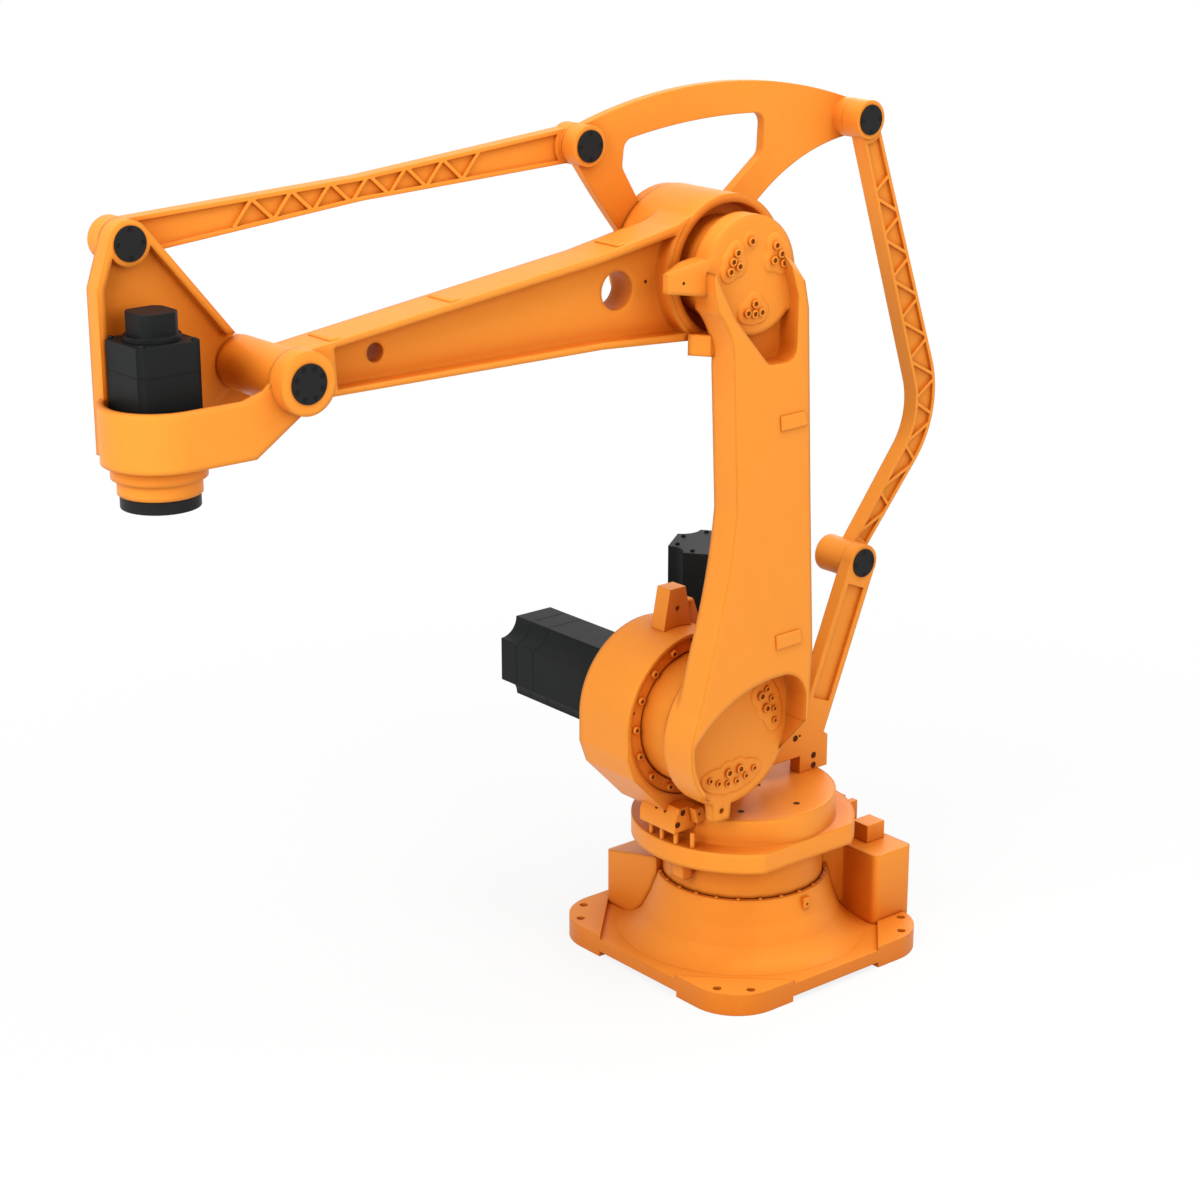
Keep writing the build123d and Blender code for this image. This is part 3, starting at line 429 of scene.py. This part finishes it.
# Turntable
# The cast table that turns on the waist gear, with a flange, a lobe for the waist motor, and the bracket in front
# that the cable guide is screwed to. The studs in front of it stop and set the waist.
bracket_side = np.array([[190, 0], [250, 0], [250, 26], [236, 53], [190, 53]]) * mm
bracket_foot = 332 * mm
bracket_far_y = -50 * mm
bracket_near_y = 60 * mm
bracket_large_spots = np.array([[226, 374], [240, 350]]) * mm
bracket_small_places = np.array([[243, -3, 371.6], [243, 24, 371.6]]) * mm
bracket_slope = np.array([0.888, 0, 0.460])
stud_radius = 5.5 * mm
stud_height = 34 * mm
stud_places = np.array([[229, -34, 300], [233, 4, 300], [229, 43, 300], [216, 80, 300]]) * mm
stud_hole_step = 11 * mm
block_side = np.array([[172, 350], [204, 350], [212, 384], [188, 384]]) * mm
block_ends = (62 * mm, 80 * mm)
block_hole_place = np.array([198, 80, 370]) * mm
table_hole_spots = np.array([[102, 104], [-18, 146]]) * mm
table_bore_spot = np.array([[-24, 14]]) * mm

painted("turntable", soft_orange)
table_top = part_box("turntable")[1][2]
cast_block("table_bracket", "turntable", bracket_side, bracket_far_y, bracket_near_y, 2 * mm, bracket_foot * Z, near)
cast_block("table_studs", "turntable", ring(stud_radius), 0, stud_height, 1 * mm, stud_places, level)
cast_block("table_block", "turntable", block_side, *block_ends, 2 * mm, 0 * X, near)
drilled("bracket_large_holes", "turntable", 6.5 * mm, on_side(bracket_large_spots, bracket_near_y), near)
drilled("bracket_small_holes", "turntable", 4 * mm, bracket_small_places,
        (Y, np.cross(bracket_slope, Y), bracket_slope))
drilled("block_hole", "turntable", 3 * mm, block_hole_place, near)
drilled("stud_feet_holes", "turntable", 4.5 * mm, stud_places - stud_hole_step * Y, level)
drilled("table_top_holes", "turntable", 7 * mm, on_top(table_hole_spots, table_top), level)
drilled("table_top_bore", "turntable", 10 * mm, on_top(table_bore_spot, table_top), level)


# Waist motor and shoulder motor
# Two equal servo motors with square aluminium housings, scalloped at the corners where the long screws run, and
# sprayed satin black. Thin joints show where the end covers meet the housing.
motor_side = 180 * mm
motor_scallop = 42 * mm
motor_screw = (5 * mm, 4 * mm, 5 * mm)
motor_screw_spots = on_circle(79 * mm, 22.5 + 45 * np.arange(8))
motor_seam_stand = 0.004
waist_motor_turn_deg = 36
waist_seam_depths = np.array([52, 205, 300]) * mm
shoulder_seam_depths = np.array([52, 110, 290]) * mm
seam_width = 1.6 * mm
seam_inner_share = 0.97

black_enamel = sprayed("satin_black_enamel", "#191B1B", "#0C0C0C", 2 * mm, 0.50, 0.10, "#FFFFFF")
# The second black is the colour of the joint lines and, in screw sockets and sunk screw holes, painted shade.
seam_black_and_hole_shade = sprayed("black_joints_and_painted_shade", "#0B0B0B", "#050505", 0.5 * mm, 0.6, 0.15, "#FFFFFF")
black_screw = [black_enamel, seam_black_and_hole_shade]


def motor_ring(side, scallop):
    """The outline of a servo housing: in each direction the reach is half the side over the larger of the cosine and
    sine, or less where the circle cut out of the corner comes first."""
    angles = np.arange(hoop_steps) * 2 * np.pi / hoop_steps
    reach = side / 2 / np.maximum(abs(np.cos(angles)), abs(np.sin(angles)))
    diagonal = np.mod(angles, np.pi / 2) - np.pi / 4
    corner = side / 2 * math.sqrt(2)
    gap = scallop ** 2 - (corner * np.sin(diagonal)) ** 2
    cut = np.where(gap > 0, corner * np.cos(diagonal) - np.sqrt(np.maximum(gap, 0)), reach)
    return ring(np.minimum(reach, cut))


def seams(name, body, outline, stand, heights, middle, axes):
    """The joint lines round a motor's housing, each a thin band that stands a little proud."""
    for number, height in enumerate(heights):
        rows = band(outline * (1 + stand), seam_inner_share, height - seam_width / 2, height + seam_width / 2)
        shell(f"{name}_joint_{number}", body, [seam_black_and_hole_shade], lofted(rows, middle, *axes))


painted("waist_motor", black_enamel)
painted("shoulder_motor", black_enamel)
housing = motor_ring(motor_side, motor_scallop)

low, high = np.array(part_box("waist_motor"))
middle = (low + high) / 2 * (X + Y)
turn = math.radians(waist_motor_turn_deg)
side, up = math.cos(turn) * X + math.sin(turn) * Y, math.cos(turn) * Y - math.sin(turn) * X
seams("waist_motor", "turntable", housing, motor_seam_stand, high[2] - waist_seam_depths, middle, (side, up, Z))
screws("waist_motor_screws", "turntable", black_screw, motor_screw,
       motor_screw_spots @ np.stack([side, up]) + middle + high[2] * Z, (side, up, Z))

low, high = np.array(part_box("shoulder_motor"))
middle = (low + high) / 2 * (X + Z)
seams("shoulder_motor", "turntable", housing, motor_seam_stand, -low[1] - shoulder_seam_depths, middle, far)
screws("shoulder_motor_screws", "turntable", black_screw, motor_screw,
       on_side(motor_screw_spots, low[1]) + middle, far)


# Shoulder housing and its gear ring
# The iron drum that holds the shoulder gear. A ring of sixteen cap screws clamps the gear in the recess of the
# drum, and the lug on top stops the lower arm.
shoulder = joint_at["lower_arm_swing"]
gear_screw_circle = 157 * mm
gear_screw_count = 16
gear_screw_turn_deg = 1.5
gear_screw = (8 * mm, 8 * mm, 8 * mm)
gear_joint_radius = 172 * mm
gear_joint_height = 0.6 * mm
gear_holes = np.array([[166, 14], [165, 88], [165, 194], [165, 268]])
gear_hole_radius = 3.2 * mm
small_lug_side = np.array([[-96, 158], [-74, 217], [-64, 214], [-50, 160]]) * mm
small_lug_ends = (-85 * mm, -60 * mm)


def polar(places):
    """Rows of radius in mm and angle in degrees as places forward and up."""
    return np.concatenate([on_circle(radius * mm, [angle]) for radius, angle in places])


painted("shoulder_housing", soft_orange)
painted("stop_lug", orange_enamel)
painted("shoulder_gear_ring", orange_enamel)
seat_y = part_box("shoulder_gear_ring")[1][1]
spots = on_circle(gear_screw_circle, gear_screw_turn_deg + np.arange(gear_screw_count) * 360 / gear_screw_count)
screws("gear_ring_screws", "turntable", orange_screw, gear_screw, on_side(spots, seat_y) + shoulder,
       near)
drilled("gear_ring_holes", "turntable", gear_hole_radius, on_side(polar(gear_holes), seat_y) + shoulder, near)
joint_line("gear_ring_joint", "turntable", gear_joint_radius, seat_y, gear_joint_height, shoulder, near)
cast_block("small_stop_lug", "turntable", small_lug_side, *small_lug_ends, 3 * mm, shoulder, near)


# Rear post
# A flat cast iron arm on the table that carries the foot of the rear rod. It is held by screws that are sunk in
# drilled holes in its foot.
post_face_y = 28 * mm
post_large_spots = np.array([[-125, 443], [-181, 391], [-181, 368]]) * mm
post_small_spot = np.array([[-138, 446]]) * mm

painted("rear_post", orange_enamel)
drilled("post_large_holes", "turntable", 7 * mm, on_side(post_large_spots, post_face_y), near)
drilled("post_small_hole", "turntable", 2.8 * mm, on_side(post_small_spot, post_face_y), near)


# Lower arm
# The large box casting between shoulder and elbow. Its hollow head and foot are open on the near side, and the cap
# screws that hold the two gears sit on low cast pads with soft outlines.
elbow = joint_at["forearm_swing"]
head_floor_y = 176 * mm
foot_floor_y = 142 * mm
arm_face_y = 200 * mm
head_pitch = 71.5
foot_pitch = 113
head_size = 8.5
foot_size = 6.8
foot_large_size = 9.5
pad_edge = 5 * mm
pad_edge_rows = 6
pad_crease_deg = 60
pad_steps = 120
pad_blur = 9
label_pad_side = np.array([[-128, 206], [-136, 176], [-65, 174], [-62, 205]]) * mm
label_pad_step = 455 * mm
head_lug_hole_place = np.array([341, 176, 1518]) * mm

# For each pad its screws as rows of radius in mm, angle in degrees and head radius in mm, then the radius of its
# lobes and its height in mm.
head_pads = {
    "head_front": ([[head_pitch, 43, head_size], [head_pitch, 27, head_size], [52, 25, head_size],
                    [head_pitch, 11, head_size]], 20, 3),
    "head_back": ([[head_pitch, 134, head_size], [head_pitch, 152, head_size], [50, 153, head_size],
                   [head_pitch, 168, head_size]], 21, 3),
    "head_low": ([[76, -72, head_size], [76, -86, head_size], [76, -100, head_size], [56, -86, head_size]], 20, 3),
    "head_single": ([[68, 78, head_size]], 15, 1.5),
}
foot_pads = {
    "foot_low": ([[foot_pitch, angle, foot_size] for angle in (-57, -70, -83, -96, -109, -122)]
                 + [[90, -83, foot_large_size], [90, -103, foot_large_size]], 22, 3),
    "foot_back": ([[foot_pitch + 3, angle, foot_size] for angle in (143, 156, 169, 182)]
                  + [[96, 143, foot_large_size], [96, 163, foot_large_size]], 23, 3),
}


def clover(places, lobe):
    """The outline of a cast pad: in each direction the farthest reach of any of the discs round its screws, seen
    from their middle, and then smoothed. A disc at distance d and angle t from the ray reaches
    d cos t + sqrt(r^2 - (d sin t)^2)."""
    middle = places.mean(0)
    angles = np.arange(pad_steps) * 2 * np.pi / pad_steps
    offset = places - middle
    distance = np.hypot(offset[:, 0], offset[:, 1])[:, None]
    turn = angles[None] - np.arctan2(offset[:, 1], offset[:, 0])[:, None]
    inside = lobe ** 2 - (distance * np.sin(turn)) ** 2
    reach = np.where(inside > 0, distance * np.cos(turn) + np.sqrt(np.maximum(inside, 0)), 0).max(0)
    lap = pad_blur // 2
    padded = np.concatenate([reach[-lap:], reach, reach[:lap]])
    return middle, ring(np.convolve(padded, np.ones(pad_blur) / pad_blur, "valid"))


def pad_rows(outline, height):
    """Rows of a low pad that blends into the casting: over the edge's width its height rises as
    (1 - cos(pi t)) / 2 with t from 0 at the foot to 1 at the rim."""
    reach = np.hypot(outline[:, 0], outline[:, 1])[:, None]
    rows = [(outline * (1 + pad_edge * (1 - t) / reach), height * (1 - math.cos(math.pi * t)) / 2)
            for t in np.linspace(0, 1, pad_edge_rows)]
    return rows + [(outline * 0, height)]


def screwed_pad(name, places, lobe, height, centre, floor_y):
    """A cast pad with its cap screws, whose heads are 0.7 of their radius high with sockets 1.1 of it wide."""
    heads = np.array(places)[:, 2]
    places = polar(np.array(places)[:, :2])
    middle, outline = clover(places, lobe)
    seat = centre * (X + Z) + floor_y * Y
    shell(name + "_pad", "lower_arm", [orange_enamel],
          lofted(pad_rows(outline, height), middle @ np.stack([X, Z]) + seat, *near), crease=pad_crease_deg)
    for head in np.unique(heads):
        screws(f"{name}_screws_{head:.0f}", "lower_arm", orange_screw,
               (head * mm, 0.7 * head * mm, 1.1 * head * mm), on_side(places[heads == head], height) + seat, near)


painted("lower_arm", soft_orange)
painted("shoulder_hub", soft_orange)
painted("elbow_hub", soft_orange)
for pads, centre, floor_y in ((head_pads, elbow, head_floor_y), (foot_pads, shoulder, foot_floor_y)):
    for name, (places, lobe, height) in pads.items():
        screwed_pad(name, places, lobe * mm, height * mm, centre, floor_y)
cast_block("arm_pads", "lower_arm", label_pad_side, -1 * mm, 4 * mm, 2 * mm,
           np.stack([shoulder, shoulder + label_pad_step * Z]) + arm_face_y * Y, near)
drilled("head_lug_hole", "lower_arm", 3 * mm, head_lug_hole_place, near)


# Forearm
# The hollow-sided cast iron beam from the elbow to the wrist. Three low ridges are cast across its top, where the
# parts of the mould met.
wrist = joint_at["wrist_level"]
forward = (wrist - elbow) / np.linalg.norm(wrist - elbow)
upward = np.array([-forward[2], 0, forward[0]])
ridge_side = ring(5 * mm) * [2.6, 0.8]
ridge_spots = np.array([[250, 91.2], [645, 63.2], [909, 47.1]]) * mm
ridge_ends = (12 * mm, 83 * mm)
forearm_hole_spot = np.array([180, 4]) * mm
forearm_web_y = 61 * mm

painted("forearm", soft_orange)
cast_block("forearm_ridges", "forearm", ridge_side, *ridge_ends, 3 * mm,
           elbow + ridge_spots @ np.stack([forward, upward]), (forward, upward, Y))
drilled("forearm_small_hole", "forearm", 3.5 * mm,
        elbow + forearm_hole_spot @ np.stack([forward, upward]) + forearm_web_y * Y, near)


# Elbow motor
# A smaller servo motor on the far side of the elbow, with a square aluminium housing sprayed black. It is screwed to
# the forearm's drum, and two joints show round it.
elbow_motor_side = 110 * mm
elbow_motor_scallop = 16 * mm
elbow_seam_depths = np.array([18, 45]) * mm
elbow_seam_stand = 0.006

painted("elbow_motor", black_enamel)
low, high = np.array(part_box("elbow_motor"))
seams("elbow_motor", "forearm", motor_ring(elbow_motor_side, elbow_motor_scallop), elbow_seam_stand,
      -low[1] - elbow_seam_depths, elbow, (forward, upward, -Y))


# Levelling lever, rods and pins
# Cast iron links with truss ribs, sprayed orange. Steel pins join them and turn in bushes, under blackened caps that
# are held by small sunk screws.
pin_screw_circle_share = 0.78
pin_screw_share = 0.13

blackened_steel = sprayed("blackened_steel_cap", "#1D1D1D", "#100F0E", 1 * mm, 0.45, 0.12, "#FFFFFF")
painted("lever", orange_enamel)
painted("rear_rod", orange_enamel)
painted("upper_rod", orange_enamel)


def capped_pin(name, count, turn_deg):
    """A pin with a circle of sunk screws near the rim of its near and its far cap, each a shallow mouth whose black
    floor is painted shade.
    """
    painted(name, blackened_steel)
    low, high = np.array(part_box(name))
    reach = (high[0] - low[0]) / 2
    middle = (low + high) / 2 * (X + Z)
    spots = on_circle(pin_screw_circle_share * reach, turn_deg + np.arange(count) * 360 / count)
    for end, y, axes in (("near", high[1], near), ("far", low[1], far)):
        bores(f"{name}_{end}_screws", body_of[name], [blackened_steel, seam_black_and_hole_shade],
              pin_screw_share * reach, on_side(spots, y) + middle, axes)


for name in ("rear_post_pin", "lever_front_pin", "lever_rear_pin", "bracket_top_pin"):
    capped_pin(name, 4, 0)


# Wrist bracket
# The casting that hangs from the forearm and the upper rod, with a cup that holds the wrist motor upright. A gusset
# stiffens its far plate under the wrist pin.
gusset_side = np.array([[-47, -8], [-44, -40], [-20, -70], [20, -82], [106, -122], [110, -96], [44, -12]]) * mm
gusset_ends = (-94 * mm, -82 * mm)

painted("wrist_bracket", soft_orange)
capped_pin("wrist_pin", 8, 22.5)
cast_block("bracket_gusset", "wrist_bracket", gusset_side, *gusset_ends, 1.5 * mm, wrist, near)


# Wrist gear and motor
# The turned gear case under the cup, sprayed with the bracket, and the black servo motor that is screwed down on it,
# with a resolver cap on its top.
wrist_motor_side = 124 * mm
wrist_motor_scallop = 12 * mm
wrist_seam_depths = np.array([52]) * mm
wrist_seam_stand = 0.005
wrist_motor_screw = (4.5 * mm, 4 * mm, 4.5 * mm)
wrist_screw_spots = on_circle(72 * mm, [45, 135, 225, 315])

painted("wrist_case", soft_orange)
painted("wrist_motor", black_enamel)
painted("wrist_motor_cap", black_enamel)
low, high = np.array(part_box("wrist_motor"))
middle = (low + high) / 2 * (X + Y)
seams("wrist_motor", "wrist_bracket", motor_ring(wrist_motor_side, wrist_motor_scallop), wrist_seam_stand,
      high[2] - wrist_seam_depths, middle, level)
screws("wrist_motor_screws", "wrist_bracket", black_screw, wrist_motor_screw,
       on_top(wrist_screw_spots, high[2]) + middle, level)


# Tool flange
# The machined steel face that a gripper bolts to, with a register bore and six tapped holes. It is blackened against
# rust and not painted.
painted("tool_flange", blackened_steel)
